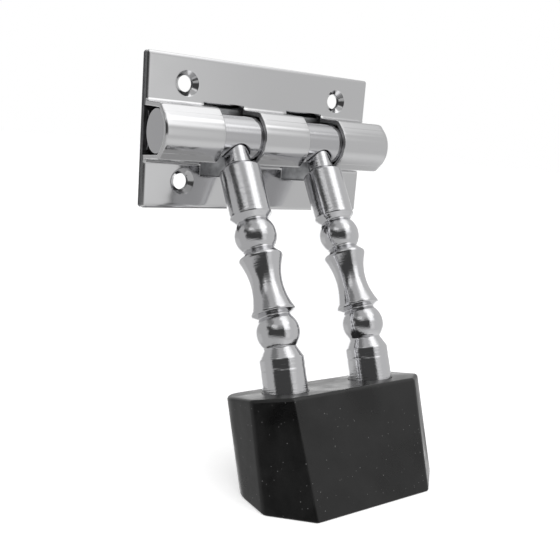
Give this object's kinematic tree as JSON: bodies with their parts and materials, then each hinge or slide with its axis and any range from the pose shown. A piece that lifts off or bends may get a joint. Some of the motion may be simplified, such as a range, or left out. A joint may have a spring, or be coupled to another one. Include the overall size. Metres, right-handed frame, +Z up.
{
  "type": "twin-leg door stop",
  "caption": "Wall plate with rolled barrels, a spindle that turns in them, turned legs and a raked rubber shoe; kicks down to hold a door, folds up out of the way.",
  "frame": {"origin": "centre of the plate's back face, level with the spindle axis and in the middle of the four screw holes", "axes": "+X along the spindle, +Y into the door, +Z up"},
  "size_m": [0.091, 0.0799, 0.1295],
  "materials": {
    "bright_nickel": "bright plated pressed steel sheet",
    "zinc_sheet": "dull zinc-plated sheet",
    "spring_steel": "tempered strip",
    "polished_chrome": "turned, polished and plated",
    "black_rubber": "moulded, satin, slightly dusty",
    "zinc_fasteners": "zinc-plated"
  },
  "bodies": {
    "bracket": {"front_plate": "bright_nickel", "back_plate": "zinc_sheet", "left_leaf_spring": "spring_steel", "right_leaf_spring": "spring_steel"},
    "swinging_stay": {"spindle": "polished_chrome", "left_leg": "polished_chrome", "right_leg": "polished_chrome", "rubber_shoe": "black_rubber", "shoe_screws": "zinc_fasteners", "shoe_washers": "zinc_fasteners"}
  },
  "joints": [
    {"name": "stay_swing", "type": "hinge", "parent": "bracket", "child": "swinging_stay", "pos_m": [0, -0.0105, 0], "axis": [-1, 0, 0], "range_deg": [-25, 148]}
  ]
}
